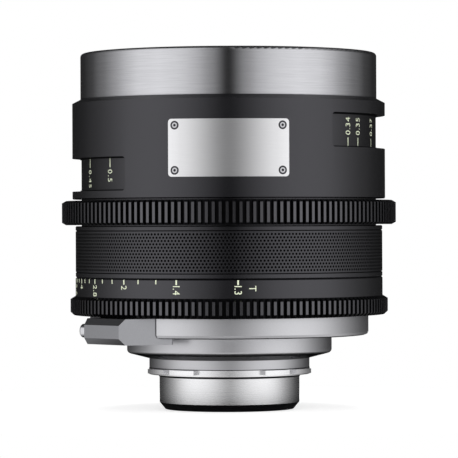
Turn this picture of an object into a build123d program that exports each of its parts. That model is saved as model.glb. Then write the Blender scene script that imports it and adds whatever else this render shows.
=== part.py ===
from build123d import *
from collections import namedtuple
from math import asin, atan2, cos, degrees, hypot, pi, radians, sin, sqrt
import os

# Cinema prime lens with a 54 mm bayonet, standing on its rear end. Lengths are millimetres.
# Z runs along the optical axis towards the front, with zero on the flange seat.
# The name plate faces -Y. Angles from the front are positive towards +X.

# Gaps and edges that several pieces share
slip_gap = 0.02
running_gap = 0.05
face_gap = 0.2
cut_over = 2.0
small_edge = 0.3

# Camera mount
barrel_radius = 27.0
barrel_bore_radius = 24.6
barrel_length = 10.8
flange_thickness = 2.4
flange_web_radius = 31.0
flange_tab_radius = 34.0
flange_tab_count = 4
flange_tab_half_deg = 21.5
flange_tab_rise = 0.7
flange_tab_first_deg = 45
index_notch_width = 3.5
index_notch_depth = 2.6
mount_screw_circle_radius = 29.0
shim_thickness = 0.3
neck_radius = 30.9

# Black ring that ends the mount barrel
end_ring_length = 2.7
end_ring_taper = 2.2
end_ring_bore_radius = 20.0
end_ring_spigot_length = 2.2
end_ring_lip_wall = 1.4

# Step between the mount and the rear body
neck_top_z = 6.1
step_underside_rise = 2.2
step_radius = 39.5
step_top_z = 15.0
step_edge_radius = 1.6
adaptor_spigot_radius = 33.5
adaptor_pocket_radius = 30.0
adaptor_pocket_floor_z = 12.3
adaptor_screw_circle_radius = 35.6

# Rear body
rear_body_radius = 53.7
rear_body_top_z = 22.5
rear_body_floor = 3.0
rear_body_edge = 1.3
rear_body_edge_share = 0.3
barrel_screw_count = 6

# Support foot, a tapered block at the lower left of the front
foot_deg = -47.6
foot_stand = 10.8
foot_reach = rear_body_radius + foot_stand
foot_root_sink = 10.05
foot_root_reach = rear_body_radius - foot_root_sink
foot_end_half_width = 9.97
foot_root_half_width = 18.45
foot_bottom_z = 12.8
foot_top_z = rear_body_top_z
foot_chamfer = 2.4
foot_corner_radius = 1.5
foot_gap = 0.6
foot_block_sink = 3.7
foot_block_inner_radius = rear_body_radius - foot_block_sink
foot_screw_sink = 5.7
foot_screw_circle_radius = rear_body_radius - foot_screw_sink
foot_screw_half_deg = 11

# Steel bush with the support thread, in the foot's left flank
bush_radius = 2.6
bush_stand = 4.5
bush_depth = 5.0
bush_edge_radius = 0.8
support_thread_radius = 1.25
support_thread_depth = 7.0
bush_place_share = 0.3

# Gear teeth for follow-focus drives
gear_module = 0.8
tooth_tip_share = 0.42
tooth_root_share = 0.56
addendum_share = 1.0
dedendum_share = 1.25

# Focus rings
focus_grip_bottom_z = 37.4
focus_gear_bottom_z = 57.4
focus_gear_top_z = 66.7
focus_scale_top_z = 99.8
focus_gear_teeth = 159
focus_gear_wall = 5.8
focus_scale_radius = gear_module * (focus_gear_teeth / 2 - dedendum_share) - focus_gear_wall
focus_scale_wall = 4.3
focus_grip_wall = 2.35
focus_grip_radius = focus_scale_radius + focus_grip_wall
grip_low_lip = 1.7
grip_high_lip = 1.6
grip_top_gap = 0.4
grip_groove = 0.4
grip_groove_depth = 0.3
focus_gear_chamfer = 1.6
focus_gear_chamfer_height = 0.9
focus_land_height = 4.8
cam_barrel_wall = 3.45
cam_barrel_clearance = 3.5
focus_far_turn_deg = -262
focus_near_turn_deg = 38
focus_screw_count = 3

# Fixed guide barrel
guide_wall = 4.0
cam_barrel_radius = focus_scale_radius - focus_scale_wall - cam_barrel_clearance
guide_outer_radius = cam_barrel_radius - cam_barrel_wall - running_gap
guide_inner_radius = guide_outer_radius - guide_wall
guide_spigot_rise = 0.5
guide_spigot_radius = guide_outer_radius + guide_spigot_rise
iris_bore_rise = 1.5
iris_bore_radius = guide_inner_radius + iris_bore_rise
iris_journal_rise = 4.45
iris_journal_radius = guide_outer_radius + iris_journal_rise
barrel_screw_circle_radius = (iris_bore_radius + guide_spigot_radius) / 2
iris_journal_top_z = 37.2
guide_top_z = 102.0

# Iris rings
iris_gear_bottom_z = 22.9
iris_gear_top_z = 30.2
iris_scale_top_z = 37.2
iris_gear_teeth = 151
iris_gear_wall = 2.8
iris_gear_seat_radius = gear_module * (iris_gear_teeth / 2 - dedendum_share) - iris_gear_wall
iris_scale_step = 2.6
iris_scale_radius = iris_gear_seat_radius + iris_scale_step
iris_gear_chamfer = 2.0
iris_gear_lower_chamfer = 1.3
iris_gear_chamfer_height = 1.2
iris_open_turn_deg = -93.2
iris_closed_turn_deg = 14.0

# Sliding focus group
focus_travel = 10.0
roller_radius = 2.0
roller_z = 66.0
roller_deg = 90
roller_count = 2
focus_cell_rear_z = 52.0
focus_cell_front_z = 78.0
focus_front_seat_z = 68.0
focus_rear_seat_z = 64.0
focus_web_radius = 32.0

# Focus stop
stop_lug_inset = 2.2
stop_lug_radius = focus_scale_radius - stop_lug_inset
stop_lug_pin_radius = 1.5
stop_lug_height = 1.6
stop_lug_deg = 180
stop_block_wall = 3.4

# Front housing with its two scale windows
housing_clearance = 0.6
housing_wall = 2.9
housing_inner_radius = focus_scale_radius + housing_clearance
housing_radius = housing_inner_radius + housing_wall
housing_bottom_z = 67.3
housing_shoulder_z = 104.0
housing_top_z = 105.55
housing_edge_slope = 3.0
housing_top_radius = housing_radius - housing_edge_slope
window_half_deg = 50.3
left_window_bottom_z = 70.25
left_window_top_z = 83.0
right_window_bottom_z = 86.3
right_window_top_z = 99.2
window_corner_radius = 1.5
housing_screw_circle_radius = guide_inner_radius + guide_wall / 2
housing_screw_count = 4

# Name plate
plate_half_deg = 21.5
plate_bottom_z = 75.1
plate_top_z = 96.4
plate_corner_radius = 1.3
plate_recess = 0.5
plate_thickness = 0.95
plate_screw_half_deg = 19.1
plate_screw_half_height = 8.3

# Front bezel ring and front cell
bezel_radius = 57.1
bezel_top_z = 123.3
bezel_edge_radius = 1.3
bezel_groove_radius = 56.2
bezel_groove_width = 0.3
bezel_mouth_radius = 52.2
bezel_mouth_depth = 6.3
bezel_throat_radius = 49.0
front_flange_radius = 51.0
front_flange_top_z = 109.9
front_cell_rear_z = 84.0
front_cell_top_z = 115.0
front_cell_web_radius = 36.0

# Rear cell
rear_cell_rear_z = -8.5
rear_cell_top_z = 29.0
rear_cell_neck_radius = 27.0
rear_cell_web_radius = 19.5

# Lens elements: edge radius, edge from low to high, then how far each face bulges outwards
Element = namedtuple("Element", "radius low high rear_bulge front_bulge")
front_glass = Element(42.0, 108.0, 112.5, -6.5, 5.3)
second_glass = Element(38.0, 93.0, 98.0, -1.2, -2.6)
focus_front_glass = Element(36.0, 68.0, 73.0, -1.4, 2.8)
focus_middle_glass = Element(34.0, 59.0, 64.0, 2.2, -1.0)
focus_rear_glass = Element(34.0, 54.6, 59.0, -0.8, -2.2)
rear_front_glass = Element(24.0, 22.0, 27.0, -1.0, 2.0)
rear_middle_glass = Element(21.5, 2.5, 8.0, 1.8, -0.8)
rear_last_glass = Element(21.5, -7.0, 2.5, -0.9, -1.8)
retainer_height = 1.9
retainer_wall = 2.6

# Iris: blades, their pivots in the base plate and their pins in the drive ring
blade_count = 13
blade_inner_radius = 18.3
blade_width = 9.5
blade_root_deg = 14
blade_tip_deg = 112
blade_thickness = 0.1
blade_spacing = 0.175
blade_pivot_radius = 31.0
blade_lever = 12.5
blade_lever_lead_deg = 5.7
blade_tab_radius = 1.3
blade_tail_radius = 0.8
blade_closed_radius = 1.05
pivot_pin_radius = 0.4
drive_pin_radius = 0.35
pin_gap = 0.07
iris_base_top_z = 35.0
iris_base_thickness = 1.0
iris_stack_height = 2.4
drive_plate_thickness = 1.2
drive_rim_height = 3.4
drive_rim_wall = 2.9
iris_retainer_height = 1.6
drive_key_radius = 1.5
drive_key_deg = 180
drive_key_inset = 2.2
drive_key_outset = 3.5

# Screw sizes: the head's radius and height, the shank's radius and length
ScrewSize = namedtuple("ScrewSize", "head_radius head_height shank_radius shank_length")
mount_screw = ScrewSize(1.7, 1.2, 0.95, 6.5)
adaptor_screw = ScrewSize(1.9, 2.0, 1.0, 7.3)
barrel_screw = ScrewSize(1.9, 1.6, 1.0, 5.4)
foot_screw = ScrewSize(1.6, 0.9, 0.9, 4.4)
housing_screw = ScrewSize(1.8, 1.8, 1.0, 5.6)
plate_screw = ScrewSize(1.6, 0.75, 0.8, 1.4)
focus_screw = ScrewSize(2.0, 1.6, 1.2, 8.4)
socket_share = 0.5
socket_depth_share = 0.6


def turned(*corners):
    """A solid turned about the optical axis from its (radius, height) corners."""
    return revolve(Plane.XZ * make_face(Polyline(*corners, close=True)), Axis.Z)


def tube(inner, outer, bottom, top):
    return turned((inner, bottom), (outer, bottom), (outer, top), (inner, top))


def from_front(shape, angle_deg):
    """Turn a shape that faces the front, -Y, to an angle from the front."""
    return Rot(0, 0, angle_deg) * shape


def sector(inner, outer, bottom, top, middle_deg, half_deg):
    """The part of a tube that lies half_deg to each side of middle_deg from the front."""
    section = make_face(Polyline((inner, bottom), (outer, bottom), (outer, top), (inner, top), close=True))
    swept = revolve(Plane.XZ * section, Axis.Z, 2 * half_deg)
    return Rot(0, 0, middle_deg - half_deg - 90) * swept


def round_radial_edges(shape, radius):
    """Round the corners that a sector shows when it is seen along its radius."""
    radial = [e for e in shape.edges().filter_by(GeomType.LINE) if abs(e.tangent_at(0).Z) < 0.5]
    return fillet(radial, radius)


def radial_pin(radius, inner, outer, z, angle_deg):
    """A cylinder along a radius, from one distance off the axis to another."""
    pin = Pos(0, -inner, z) * Rot(90, 0, 0) * Cylinder(
        radius, outer - inner, align=(Align.CENTER, Align.CENTER, Align.MIN))
    return from_front(pin, angle_deg)


def cap_screw(size):
    """A socket screw, head upwards, with the top of its head at zero."""
    upright = (Align.CENTER, Align.CENTER, Align.MAX)
    head = Cylinder(size.head_radius, size.head_height, align=upright)
    shank = Pos(0, 0, -size.head_height) * Cylinder(size.shank_radius, size.shank_length, align=upright)
    socket_depth = socket_depth_share * size.head_height
    socket = extrude(RegularPolygon(socket_share * size.head_radius, 6), -socket_depth)
    return head + shank - socket


def cap_screw_hole(size):
    """The counterbored hole for a socket screw, open above its head."""
    head_height = size.head_height + cut_over
    head = Pos(0, 0, cut_over) * Cylinder(
        size.head_radius + slip_gap, head_height, align=(Align.CENTER, Align.CENTER, Align.MAX))
    shank = Pos(0, 0, -size.head_height) * Cylinder(
        size.shank_radius + slip_gap, size.shank_length + slip_gap,
        align=(Align.CENTER, Align.CENTER, Align.MAX))
    return head + shank


def facing_down(shape, circle_radius, z, angle_deg):
    """Put a screw or its hole on a circle with its head facing the rear."""
    return from_front(Pos(0, -circle_radius, z) * Rot(180, 0, 0) * shape, angle_deg)


def facing_up(shape, circle_radius, z, angle_deg):
    return from_front(Pos(0, -circle_radius, z) * shape, angle_deg)


def facing_out(shape, radius, z, angle_deg):
    """Put a screw or its hole on a cylinder with its head facing outwards."""
    return from_front(Pos(0, -radius, z) * Rot(90, 0, 0) * shape, angle_deg)


def lens(glass):
    """A round lens element with spherical faces."""
    def face_arc(edge_z, bulge):
        apex_z = edge_z + bulge
        sphere = (glass.radius ** 2 + bulge ** 2) / (2 * bulge)
        middle = glass.radius / 2
        drop = abs(sphere) - sqrt(sphere ** 2 - middle ** 2)
        middle_z = apex_z - drop if bulge > 0 else apex_z + drop
        return ThreePointArc((0, apex_z), (middle, middle_z), (glass.radius, edge_z))

    front = face_arc(glass.high, glass.front_bulge)
    rear = face_arc(glass.low, -glass.rear_bulge)
    edge = Line((glass.radius, glass.high), (glass.radius, glass.low))
    axis_line = Line((0, glass.low - glass.rear_bulge), (0, glass.high + glass.front_bulge))
    return revolve(Plane.XZ * make_face(front + edge + rear + axis_line), Axis.Z)


def retainer(glass, behind=False):
    """The threaded ring that holds an element in its cell, with a bevel clear of the glass."""
    bulge = glass.rear_bulge if behind else glass.front_bulge
    inner = glass.radius - retainer_wall
    clear = 0
    if bulge > 0:
        sphere = (glass.radius ** 2 + bulge ** 2) / (2 * bulge)
        clear = sqrt(sphere ** 2 - inner ** 2) - sqrt(sphere ** 2 - glass.radius ** 2) + running_gap
    sign = -1 if behind else 1
    seat = glass.low if behind else glass.high
    top = seat + sign * retainer_height
    return turned((glass.radius, seat), (glass.radius, top), (inner, top + sign * clear),
                  (inner, seat + sign * clear))


def gear_ring(teeth, bore, bottom, top, top_chamfer, bottom_chamfer, chamfer_height):
    """A spur ring for a follow-focus drive, with both ends of its teeth chamfered."""
    pitch_radius = gear_module * teeth / 2
    tip = pitch_radius + addendum_share * gear_module
    root = pitch_radius - dedendum_share * gear_module
    step = 2 * pi / teeth
    outline = []
    for tooth in range(teeth):
        for radius, side_share in ((root, -tooth_root_share), (tip, -tooth_tip_share),
                                   (tip, tooth_tip_share), (root, tooth_root_share)):
            angle = step * (tooth + side_share / 2)
            outline.append((radius * cos(angle), radius * sin(angle)))
    toothed = Pos(0, 0, bottom) * extrude(make_face(Polyline(*outline, close=True)), top - bottom)
    blank = turned((bore, bottom), (tip - bottom_chamfer, bottom), (tip, bottom + chamfer_height),
                   (tip, top - chamfer_height), (tip - top_chamfer, top), (bore, top))
    return toothed & blank


# Camera mount and what joins it to the body

def mount_screw_places():
    first = flange_tab_first_deg - 180 / flange_tab_count
    return [first + 360 / flange_tab_count * k for k in range(flange_tab_count)]


def adaptor_screw_places():
    return [flange_tab_first_deg + 360 / flange_tab_count * k for k in range(flange_tab_count)]


def adaptor_screw_z():
    """Where the heads end, level with the cone under the step at their outer edge."""
    slope = step_underside_rise / (step_radius - neck_radius)
    return neck_top_z + slope * (adaptor_screw_circle_radius + adaptor_screw.head_radius - neck_radius)


def camera_mount():
    body = tube(barrel_bore_radius, barrel_radius, -barrel_length, flange_thickness)
    body += tube(barrel_bore_radius, flange_web_radius, 0, flange_thickness)
    for k in range(flange_tab_count):
        angle = flange_tab_first_deg + 360 / flange_tab_count * k
        body += sector(barrel_radius, flange_tab_radius, flange_tab_rise, flange_thickness,
                       angle, flange_tab_half_deg)
        notch = Box(index_notch_width, 2 * index_notch_depth, 3 * flange_thickness)
        body -= from_front(Pos(0, -flange_tab_radius, 0) * notch, angle)
    for angle in mount_screw_places():
        body -= facing_down(cap_screw_hole(mount_screw), mount_screw_circle_radius, 0, angle)
    return body


def mount_shim():
    body = tube(barrel_bore_radius, neck_radius, flange_thickness, flange_thickness + shim_thickness)
    for angle in mount_screw_places():
        body -= facing_down(cap_screw_hole(mount_screw), mount_screw_circle_radius, 0, angle)
    return body


def mount_adaptor():
    bottom = flange_thickness + shim_thickness
    spigot_top = step_top_z + rear_body_floor
    body = turned(
        (barrel_bore_radius, bottom), (neck_radius, bottom), (neck_radius, neck_top_z),
        (step_radius, neck_top_z + step_underside_rise), (step_radius, step_top_z),
        (adaptor_spigot_radius, step_top_z),
        (adaptor_spigot_radius, spigot_top), (adaptor_pocket_radius, spigot_top),
        (adaptor_pocket_radius, adaptor_pocket_floor_z), (barrel_bore_radius, adaptor_pocket_floor_z))
    rims = body.edges().filter_by(GeomType.CIRCLE)
    outer_rim = [e for e in rims if abs(e.radius - step_radius) < slip_gap
                 and abs(e.center().Z - neck_top_z - step_underside_rise) < slip_gap]
    body = fillet(outer_rim, step_edge_radius)
    for angle in mount_screw_places():
        body -= facing_down(cap_screw_hole(mount_screw), mount_screw_circle_radius, 0, angle)
    for angle in adaptor_screw_places():
        hole = cap_screw_hole(adaptor_screw)
        body -= facing_down(hole, adaptor_screw_circle_radius, adaptor_screw_z(), angle)
    return body


def rear_baffle():
    """The black ring that ends the barrel and keeps stray light from the rear glass."""
    end_z = -barrel_length - end_ring_length
    spigot_top = -barrel_length + end_ring_spigot_length
    spigot_radius = barrel_bore_radius - slip_gap
    lip_top = rear_last_glass.low
    return turned(
        (end_ring_bore_radius, end_z), (barrel_radius - end_ring_taper, end_z),
        (barrel_radius, -barrel_length), (spigot_radius, -barrel_length), (spigot_radius, spigot_top),
        (end_ring_bore_radius + end_ring_lip_wall, spigot_top),
        (end_ring_bore_radius + end_ring_lip_wall, lip_top), (end_ring_bore_radius, lip_top))


# Rear body with its support foot

def barrel_screw_places():
    first = foot_deg + 180 / barrel_screw_count
    return [first + 360 / barrel_screw_count * k for k in range(barrel_screw_count)]


def foot_screw_places():
    return [foot_deg - foot_screw_half_deg, foot_deg + foot_screw_half_deg]


def foot_plan(offset):
    """The foot's outline seen from the front of the lens, grown by an offset, pointing to -Y."""
    flank_slope = (foot_root_half_width - foot_end_half_width) / (foot_reach - foot_root_reach)
    grow = offset * hypot(1, flank_slope)
    end_half = foot_end_half_width + grow
    root_half = foot_root_half_width + grow
    corners = [(end_half, -foot_reach), (root_half, -foot_root_reach),
               (-root_half, -foot_root_reach), (-end_half, -foot_reach)]
    return make_face(Polyline(*corners, close=True))


def support_foot():
    height = foot_top_z - foot_bottom_z
    block = Pos(0, 0, foot_bottom_z) * extrude(foot_plan(0), height)
    root_edges = [e for e in block.edges().filter_by(Axis.Z)
                  if abs(e.center().Y + foot_root_reach) < slip_gap]
    block = fillet(root_edges, foot_corner_radius)
    end_edges = [e for e in block.edges() if abs(e.center().Y + foot_reach) < slip_gap
                 and abs(e.tangent_at(0).Z) < 0.5]
    block = chamfer(end_edges, foot_chamfer)
    block = from_front(block, foot_deg)
    block -= tube(0, foot_block_inner_radius, step_top_z, foot_top_z + cut_over)
    for angle in foot_screw_places():
        block -= facing_down(cap_screw_hole(foot_screw), foot_screw_circle_radius, foot_bottom_z, angle)
    return block - bush_at_flank(bush_radius + slip_gap, bush_depth + slip_gap)


def bush_at_flank(radius, depth):
    """A cylinder sunk square into the foot's left flank, standing out of it by the bush's stand."""
    reach = foot_reach + (foot_root_reach - foot_reach) * bush_place_share
    half_width = foot_end_half_width + (foot_root_half_width - foot_end_half_width) * bush_place_share
    flank_deg = degrees(atan2(foot_root_half_width - foot_end_half_width, foot_reach - foot_root_reach))
    upright = Cylinder(radius, depth + bush_stand, align=(Align.CENTER, Align.CENTER, Align.MIN))
    sunk = Pos(0, 0, -depth) * upright
    middle_z = (foot_bottom_z + foot_top_z) / 2
    # The flank on the -X side, before the foot is turned, faces -X and a little to -Y.
    placed = Pos(-half_width, -reach, middle_z) * Rot(0, 0, flank_deg) * Rot(0, -90, 0) * sunk
    return from_front(placed, foot_deg)


def support_bush():
    bush = bush_at_flank(bush_radius, bush_depth)
    rims = bush.edges().filter_by(GeomType.CIRCLE)
    outer_rim = max(rims, key=lambda e: hypot(e.center().X, e.center().Y))
    bush = fillet([outer_rim], bush_edge_radius)
    thread = bush_at_flank(support_thread_radius, support_thread_depth - bush_stand)
    return bush - thread


def rear_body():
    floor_top = step_top_z + rear_body_floor
    bend = rear_body_edge * rear_body_edge_share
    body = turned(
        (adaptor_spigot_radius + slip_gap, step_top_z), (rear_body_radius - rear_body_edge, step_top_z),
        (rear_body_radius - bend, step_top_z + bend), (rear_body_radius, step_top_z + rear_body_edge),
        (rear_body_radius, rear_body_top_z),
        (guide_spigot_radius, rear_body_top_z),
        (guide_spigot_radius, floor_top), (adaptor_spigot_radius + slip_gap, floor_top))
    slot_height = rear_body_top_z - step_top_z + 2 * cut_over
    slot = Pos(0, 0, step_top_z - cut_over) * extrude(foot_plan(foot_gap), slot_height)
    slot -= tube(0, foot_block_inner_radius - foot_gap, 0, rear_body_top_z + 2 * cut_over)
    body -= from_front(slot, foot_deg)
    for angle in adaptor_screw_places():
        hole = cap_screw_hole(adaptor_screw)
        body -= facing_down(hole, adaptor_screw_circle_radius, adaptor_screw_z(), angle)
    for angle in barrel_screw_places():
        body -= facing_down(cap_screw_hole(barrel_screw), barrel_screw_circle_radius, step_top_z, angle)
    for angle in foot_screw_places():
        body -= facing_down(cap_screw_hole(foot_screw), foot_screw_circle_radius, foot_bottom_z, angle)
    return body


# Fixed guide barrel, on which both control rings turn

def key_arc():
    """The middle and half width, in degrees from the front, of the arc that the iris key sweeps."""
    margin = degrees((drive_key_radius + face_gap) / iris_bore_radius)
    middle = drive_key_deg + (iris_open_turn_deg + iris_closed_turn_deg) / 2
    return middle, (iris_closed_turn_deg - iris_open_turn_deg) / 2 + margin


def drive_key_z():
    plate_bottom = iris_base_top_z - iris_base_thickness - iris_stack_height - drive_plate_thickness
    return plate_bottom - drive_rim_height / 2


def roller_rail(half_width, inner, outer):
    """The straight way of a focus roller, from its lowest to its highest place."""
    throw = focus_near_turn_deg - focus_far_turn_deg
    low = roller_z + focus_travel * focus_far_turn_deg / throw - face_gap
    high = roller_z + focus_travel * focus_near_turn_deg / throw + face_gap
    rail = Pos(0, -(inner + outer) / 2, (low + high) / 2) * Box(2 * half_width, outer - inner, high - low)
    ends = radial_pin(half_width, inner, outer, low, 0) + radial_pin(half_width, inner, outer, high, 0)
    return rail + ends


def guide_barrel():
    rear_z = step_top_z + rear_body_floor + slip_gap
    journal_bottom = rear_body_top_z
    body = turned(
        (iris_bore_radius, rear_z), (guide_spigot_radius - slip_gap, rear_z),
        (guide_spigot_radius - slip_gap, journal_bottom), (iris_journal_radius, journal_bottom),
        (iris_journal_radius, iris_journal_top_z), (guide_outer_radius, iris_journal_top_z),
        (guide_outer_radius, guide_top_z), (guide_inner_radius, guide_top_z),
        (guide_inner_radius, iris_base_top_z), (iris_bore_radius, iris_base_top_z))
    middle, half = key_arc()
    key_room = drive_key_radius + face_gap
    body -= sector(iris_bore_radius - cut_over, iris_journal_radius + cut_over,
                   drive_key_z() - key_room, drive_key_z() + key_room, middle, half)
    for k in range(roller_count):
        rail = roller_rail(roller_radius + running_gap, guide_inner_radius - cut_over,
                           guide_outer_radius + cut_over)
        body -= from_front(rail, roller_deg + 360 / roller_count * k)
    for angle in barrel_screw_places():
        body -= facing_down(cap_screw_hole(barrel_screw), barrel_screw_circle_radius, step_top_z, angle)
    for angle in housing_screw_places():
        body -= facing_up(cap_screw_hole(housing_screw), housing_screw_circle_radius, housing_top_z, angle)
    return body


# Iris

def blade_total_swing():
    """The angle that a blade turns from fully open to fully closed, in radians."""
    return 2 * asin((blade_inner_radius - blade_closed_radius) / (2 * blade_pivot_radius))


def iris_throw():
    return radians(iris_closed_turn_deg - iris_open_turn_deg)


def lever_end(turn):
    """Where a blade's drive pin is when the drive ring is turned so far from open, in radians."""
    swing = blade_total_swing() * turn / iris_throw()
    angle = -pi / 2 - blade_total_swing() / 2 + radians(blade_lever_lead_deg) + swing
    return (blade_pivot_radius + blade_lever * cos(angle), blade_lever * sin(angle))


def capsule(start, end, radius):
    """A flat bar with round ends between two points."""
    run = hypot(end[0] - start[0], end[1] - start[1])
    turn = degrees(atan2(end[1] - start[1], end[0] - start[0]))
    middle = ((start[0] + end[0]) / 2, (start[1] + end[1]) / 2)
    return Pos(*middle) * Rot(0, 0, turn) * SlotCenterToCenter(run, 2 * radius)


def blade_level(index):
    stack_bottom = iris_base_top_z - iris_base_thickness - iris_stack_height
    used = blade_spacing * (blade_count - 1) + blade_thickness
    return stack_bottom + (iris_stack_height - used) / 2 + blade_spacing * index


def iris_blade(index):
    """One blade at its rest opening, with its pivot pin in front and its drive pin behind."""
    outer = blade_inner_radius + blade_width
    sweep_deg = blade_tip_deg - blade_root_deg
    inner_arc = CenterArc((0, 0), blade_inner_radius, blade_root_deg, sweep_deg)
    outer_arc = CenterArc((0, 0), outer, blade_root_deg, sweep_deg)
    root_line = Line(inner_arc @ 0, outer_arc @ 0)
    tip_line = Line(inner_arc @ 1, outer_arc @ 1)
    band = make_face(inner_arc + outer_arc + root_line + tip_line)
    pivot = (blade_pivot_radius, 0)
    mid_radius = blade_inner_radius + blade_width / 2
    band_start = (mid_radius * cos(radians(blade_root_deg)), mid_radius * sin(radians(blade_root_deg)))
    outline = band + capsule(pivot, band_start, blade_tab_radius)
    outline += capsule(pivot, lever_end(0), blade_tail_radius)
    level = blade_level(index)
    blade = Pos(0, 0, level) * extrude(outline, blade_thickness)
    # Each pin runs 0.8 of the way through the plate that holds it.
    plate_share = 0.8
    pivot_top = iris_base_top_z - (1 - plate_share) * iris_base_thickness
    stack_bottom = iris_base_top_z - iris_base_thickness - iris_stack_height
    drive_bottom = stack_bottom - plate_share * drive_plate_thickness
    low_align = (Align.CENTER, Align.CENTER, Align.MIN)
    blade += Pos(blade_pivot_radius, 0, level) * Cylinder(pivot_pin_radius, pivot_top - level, align=low_align)
    drive_x, drive_y = lever_end(0)
    blade += Pos(drive_x, drive_y, drive_bottom) * Cylinder(
        drive_pin_radius, level + blade_thickness - drive_bottom, align=low_align)
    swing = degrees(blade_total_swing()) * -iris_open_turn_deg / degrees(iris_throw())
    blade = Pos(blade_pivot_radius, 0) * Rot(0, 0, swing) * Pos(-blade_pivot_radius, 0) * blade
    return Rot(0, 0, 360 / blade_count * index) * blade


def iris_base_plate():
    bottom = iris_base_top_z - iris_base_thickness
    plate = tube(blade_inner_radius + slip_gap, iris_bore_radius - slip_gap, bottom, iris_base_top_z)
    hole = Cylinder(pivot_pin_radius + running_gap, 2 * iris_base_thickness + cut_over)
    for k in range(blade_count):
        plate -= Rot(0, 0, 360 / blade_count * k) * Pos(blade_pivot_radius, 0, bottom) * hole
    return plate


def pin_in_drive_ring(turn):
    """A blade's drive pin as the drive ring sees it, when the ring is turned so far from open."""
    x, y = lever_end(turn)
    return Vector(x * cos(turn) + y * sin(turn), y * cos(turn) - x * sin(turn))


def drive_slot():
    """The spiral slot that one drive pin follows, a little longer than its travel."""
    over_share = 0.012
    steps = 10
    half_width = drive_pin_radius + pin_gap
    near = iris_throw() * over_share
    middle, left, right = [], [], []
    for i in range(steps + 1):
        turn = (iris_throw() + 2 * near) * i / steps - near
        along = (pin_in_drive_ring(turn + near) - pin_in_drive_ring(turn - near)).normalized()
        across = Vector(-along.Y, along.X) * half_width
        point = pin_in_drive_ring(turn)
        middle.append((point, along * half_width))
        left.append(point + across)
        right.append(point - across)
    first, first_along = middle[0]
    last, last_along = middle[-1]
    start = ThreePointArc(left[0], first - first_along, right[0])
    end = ThreePointArc(left[-1], last + last_along, right[-1])
    return make_face(Spline(*left) + end + Spline(*right) + start)


def iris_drive_ring():
    """The ring whose spiral slots swing the blades, with a rim that takes the key."""
    plate_top = iris_base_top_z - iris_base_thickness - iris_stack_height
    plate_bottom = plate_top - drive_plate_thickness
    outer = iris_bore_radius - running_gap
    plate = Circle(outer) - Circle(blade_inner_radius + face_gap)
    for k in range(blade_count):
        plate -= Rot(0, 0, 360 / blade_count * k - iris_open_turn_deg) * drive_slot()
    ring = Pos(0, 0, plate_bottom) * extrude(plate, drive_plate_thickness)
    ring += tube(outer - drive_rim_wall, outer, plate_bottom - drive_rim_height, plate_bottom)
    key_hole = radial_pin(drive_key_radius + slip_gap, outer - drive_key_inset - slip_gap,
                          outer + cut_over, drive_key_z(), drive_key_deg)
    return ring - key_hole


def iris_drive_key():
    inner = iris_bore_radius - running_gap - drive_key_inset
    return radial_pin(drive_key_radius, inner, iris_journal_radius + drive_key_outset,
                      drive_key_z(), drive_key_deg)


def iris_retaining_ring():
    rim_bottom = drive_key_z() - drive_rim_height / 2
    top = rim_bottom - face_gap
    bore = iris_bore_radius - slip_gap
    return tube(bore - 2 * retainer_wall, bore, top - iris_retainer_height, top)


def iris_scale_ring():
    bore = iris_journal_radius + running_gap
    body = turned(
        (bore, iris_gear_bottom_z), (iris_gear_seat_radius, iris_gear_bottom_z),
        (iris_gear_seat_radius, iris_gear_top_z), (iris_scale_radius, iris_gear_top_z),
        (iris_scale_radius, iris_scale_top_z - small_edge),
        (iris_scale_radius - small_edge, iris_scale_top_z), (bore, iris_scale_top_z))
    key_end = iris_journal_radius + drive_key_outset + slip_gap
    return body - radial_pin(drive_key_radius + slip_gap, bore - cut_over, key_end,
                             drive_key_z(), drive_key_deg)


def iris_gear_ring():
    return gear_ring(iris_gear_teeth, iris_gear_seat_radius + slip_gap, iris_gear_bottom_z,
                     iris_gear_top_z, iris_gear_chamfer, iris_gear_lower_chamfer,
                     iris_gear_chamfer_height)


# Focus rings

def focus_screw_z():
    return focus_grip_bottom_z + focus_land_height / 2


def focus_screw_reach():
    """How far from the axis the screw heads end, sunk under the grip."""
    return focus_scale_radius - face_gap


def focus_screw_places():
    return [360 / focus_screw_count * (k + 0.5) for k in range(focus_screw_count)]


def focus_cam_barrel():
    """The turning barrel whose helical slots push the focus rollers along the guide barrel."""
    inner = guide_outer_radius + running_gap
    outer = inner + cam_barrel_wall
    body = tube(inner, outer, focus_grip_bottom_z, focus_scale_top_z)
    half_width = roller_radius + running_gap
    throw = focus_near_turn_deg - focus_far_turn_deg
    middle = (inner + outer) / 2
    low_z = roller_z + focus_travel * focus_far_turn_deg / throw
    high_z = roller_z + focus_travel * focus_near_turn_deg / throw
    stretches = 3
    rise, turn = focus_travel / stretches, throw / stretches
    path = Helix(focus_travel * 360 / throw, rise, middle, lefthand=True)
    start = Plane(origin=path @ 0, x_dir=(1, 0, 0), z_dir=path % 0)
    groove = sweep(start * Rectangle(cam_barrel_wall + cut_over, 2 * half_width), path, is_frenet=True)
    for k in range(roller_count):
        place = roller_deg + 360 / roller_count * k
        low_deg = place - focus_far_turn_deg
        for stretch in range(stretches):
            body -= Pos(0, 0, low_z + rise * stretch) * Rot(0, 0, low_deg - 90 - turn * stretch) * groove
        body -= radial_pin(half_width, inner - cut_over, outer + cut_over, low_z, low_deg)
        body -= radial_pin(half_width, inner - cut_over, outer + cut_over, high_z,
                           place - focus_near_turn_deg)
    for angle in focus_screw_places():
        body -= facing_out(cap_screw_hole(focus_screw), focus_screw_reach(), focus_screw_z(), angle)
    return body


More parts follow.
